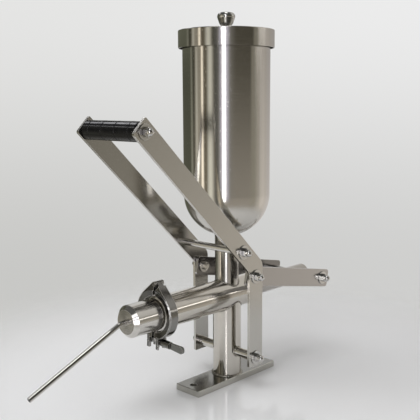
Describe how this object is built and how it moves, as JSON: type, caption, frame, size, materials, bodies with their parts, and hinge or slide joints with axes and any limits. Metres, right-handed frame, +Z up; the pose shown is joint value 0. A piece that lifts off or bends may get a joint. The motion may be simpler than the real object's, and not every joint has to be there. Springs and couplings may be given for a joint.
{
  "type": "manual churro filling machine",
  "caption": "Manual bench-top churro filler: lidded round hopper over a plunger barrel on a post, with a lever handle and links, a clamped nozzle cap and a slanted needle.",
  "frame": {"origin": "on the post axis at the underside of the base plate", "axes": "+Z up along the post, -Y along the barrel towards the needle, +X across the machine to its wing nut side"},
  "size_m": [0.1714, 0.6383, 0.6494],
  "materials": {
    "base_steel": "satin brushed stainless plate",
    "tube_steel": "satin polished stainless tube",
    "hopper_steel": "bright satin stainless sheet",
    "bar_steel": "brushed stainless flat bar",
    "clamp_steel": "cast stainless, polished",
    "rod_steel": "bright ground stainless bar",
    "fastener_steel": "polished stainless fastener",
    "grip_plastic": "glossy black plastic",
    "seal_rubber": "food grade silicone rubber"
  },
  "bodies": {
    "frame": {"base_plate": "base_steel", "post": "tube_steel", "pivot_rod": "rod_steel", "pivot_washers": "fastener_steel", "pivot_cap_nuts": "fastener_steel", "barrel": "tube_steel", "barrel_ferrule": "tube_steel", "feed_tube": "tube_steel", "hopper": "hopper_steel", "nozzle_cap": "tube_steel", "needle": "rod_steel", "clamp_gasket": "seal_rubber", "clamp_half_near": "clamp_steel", "clamp_half_far": "clamp_steel", "clamp_hinge_pin": "clamp_steel", "clamp_bolt_pin": "clamp_steel"},
    "handle": {"arm_near": "bar_steel", "arm_far": "bar_steel", "grip": "grip_plastic", "grip_rod": "rod_steel", "grip_washers": "fastener_steel", "grip_cap_nuts": "fastener_steel", "spreader_rod": "rod_steel", "spreader_washers": "fastener_steel", "spreader_cap_nuts": "fastener_steel", "elbow_bolts": "rod_steel", "elbow_washers": "fastener_steel", "elbow_inner_washers": "fastener_steel", "elbow_spacers": "fastener_steel", "elbow_cap_nuts": "fastener_steel"},
    "links": {"link_near": "bar_steel", "link_far": "bar_steel", "link_pin": "rod_steel", "link_pin_washers": "fastener_steel", "link_pin_cap_nuts": "fastener_steel"},
    "plunger_rod": {"plunger": "rod_steel", "plunger_seals": "seal_rubber"},
    "hopper_lid": {"lid": "hopper_steel", "lid_knob": "fastener_steel", "knob_screw": "rod_steel"},
    "swing_bolt": {"clamp_bolt": "clamp_steel"},
    "wing_nut": {"clamp_wing_nut": "clamp_steel"}
  },
  "joints": [
    {"name": "handle_swing", "type": "hinge", "parent": "frame", "child": "handle", "pos_m": [0, 0, 0.0555], "axis": [1, 0, 0], "range_deg": [0, 35]},
    {"name": "link_swing", "type": "hinge", "parent": "handle", "child": "links", "pos_m": [0, 0, 0.2007], "axis": [1, 0, 0], "range_deg": [-29.45, 0]},
    {"name": "plunger_slide", "type": "slide", "parent": "frame", "child": "plunger_rod", "axis": [0, -1, 0], "range_m": [0, 0.0816]},
    {"name": "lid_lift", "type": "slide", "parent": "frame", "child": "hopper_lid", "axis": [0, 0, 1], "range_m": [0, 0.06]},
    {"name": "bolt_swing", "type": "hinge", "parent": "frame", "child": "swing_bolt", "pos_m": [-0.01349, -0.1675, 0.11274], "axis": [0, 1, 0], "range_deg": [0, 90]},
    {"name": "wing_turn", "type": "hinge", "parent": "swing_bolt", "child": "wing_nut", "pos_m": [0.01715, -0.1675, 0.11087], "axis": [0.9981, 0, -0.061], "continuous": true}
  ],
  "couplings": [
    {"joint": "link_swing", "follows": "handle_swing", "ratio": -0.84},
    {"joint": "plunger_slide", "follows": "handle_swing", "m_per_rad": 0.13342}
  ]
}
